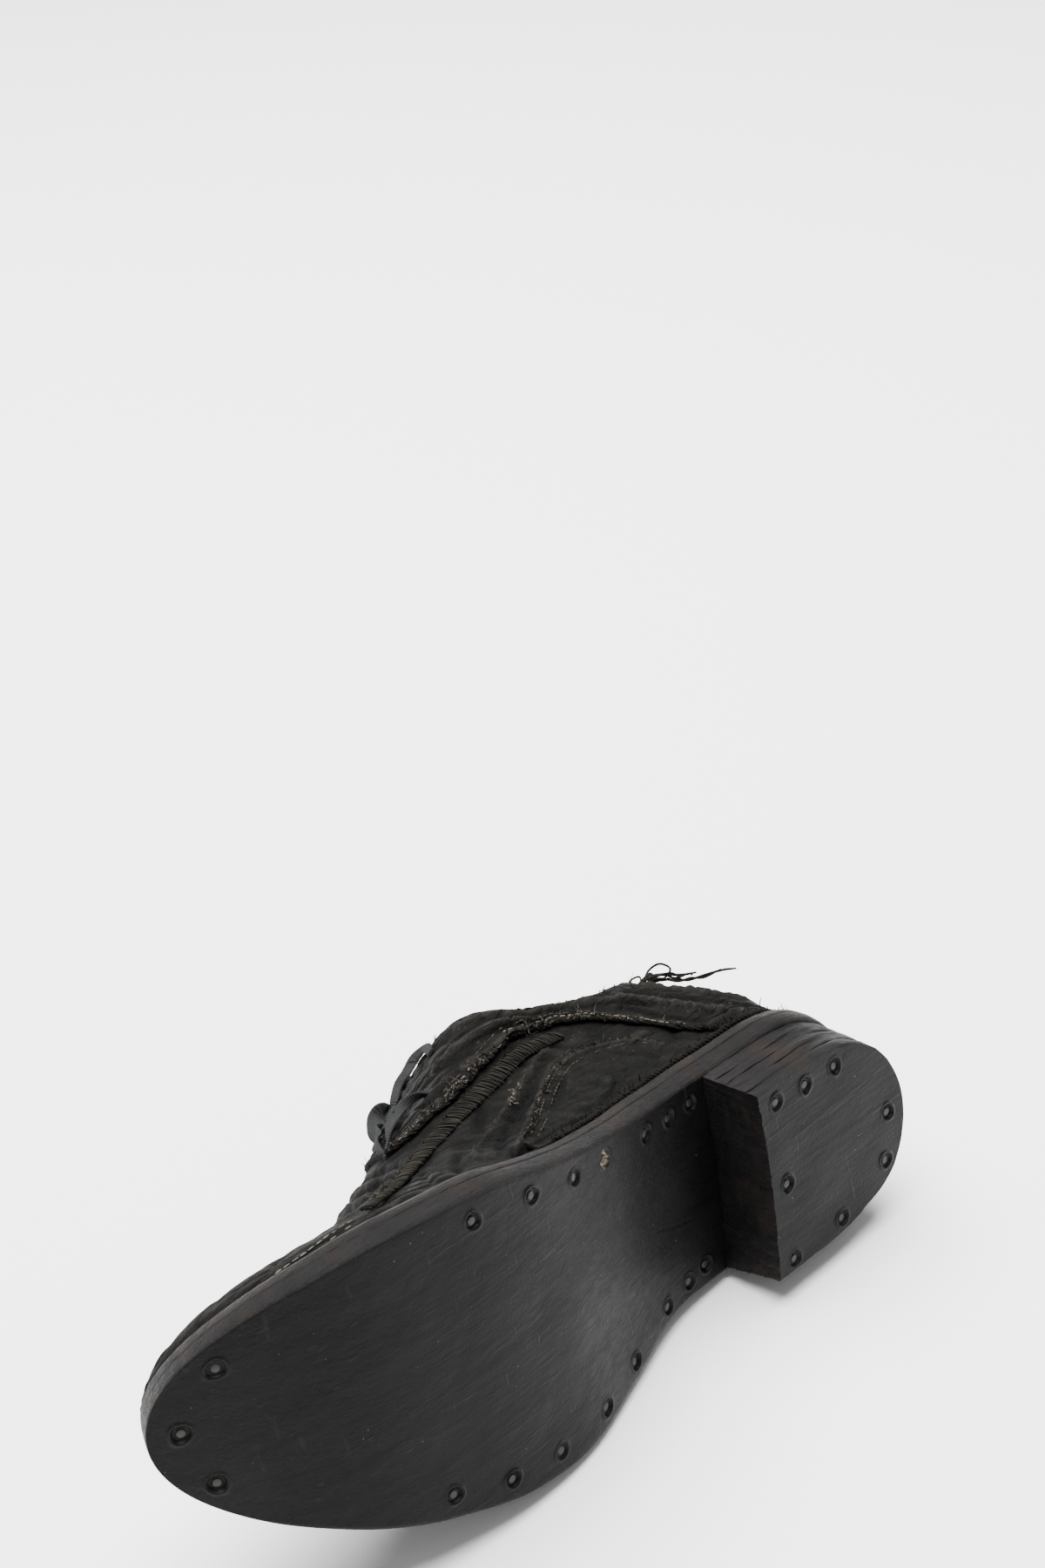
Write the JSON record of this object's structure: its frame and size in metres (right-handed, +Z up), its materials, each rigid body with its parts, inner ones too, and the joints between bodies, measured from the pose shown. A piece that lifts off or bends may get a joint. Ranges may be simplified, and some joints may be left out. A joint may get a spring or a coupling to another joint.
{
  "type": "derby shoe",
  "caption": "Worn leather derby shoe for the right foot, lying on its lateral side, with a nailed leather sole and a stacked heel.",
  "frame": {"origin": "centre of the footprint of the bounding box, on the floor that the shoe lies on", "axes": "+X from heel to toe along the shoe, +Y from the shoe's inside towards its sole, +Z up, the shoe lying on its lateral side"},
  "size_m": [0.3002, 0.1448, 0.1137],
  "materials": {
    "sole_leather": "worn, tarred black leather with a dull sheen",
    "edge_leather": "waxed grey-brown leather edge",
    "heel_leather": "layered leather, dusty",
    "upper_leather": "dry, creased black-brown leather",
    "quarter_leather": "dry, creased black-brown leather",
    "band_leather": "whip-stitched strip",
    "patch_leather": "thin stitched patch",
    "tongue_leather": "soft dark leather",
    "insole_leather": "matt, darkened by wear",
    "lace": "flat woven lace, dusty grey",
    "nail": "dark iron, rubbed at the rims"
  },
  "bodies": {
    "root": {"outsole": "sole_leather", "midsole": "edge_leather", "top_lift": "heel_leather", "heel_lift_1": "heel_leather", "heel_lift_2": "heel_leather", "heel_lift_3": "heel_leather", "heel_lift_4": "heel_leather", "upper": "upper_leather", "quarters": "quarter_leather", "seam_band": "band_leather", "side_patch": "patch_leather", "tongue": "tongue_leather", "insole": "insole_leather", "lace_bar_1": "lace", "lace_bar_2": "lace", "lace_bar_3": "lace", "lace_bar_4": "lace", "nail_01": "nail", "nail_02": "nail", "nail_03": "nail", "nail_04": "nail", "nail_05": "nail", "nail_06": "nail", "nail_07": "nail", "nail_08": "nail", "nail_09": "nail", "nail_10": "nail", "nail_11": "nail", "nail_12": "nail", "nail_13": "nail", "nail_14": "nail", "nail_15": "nail", "nail_16": "nail", "nail_17": "nail", "nail_18": "nail", "nail_19": "nail", "nail_20": "nail", "nail_21": "nail", "nail_22": "nail", "nail_23": "nail", "nail_24": "nail", "nail_25": "nail", "nail_26": "nail"}
  },
  "joints": []
}
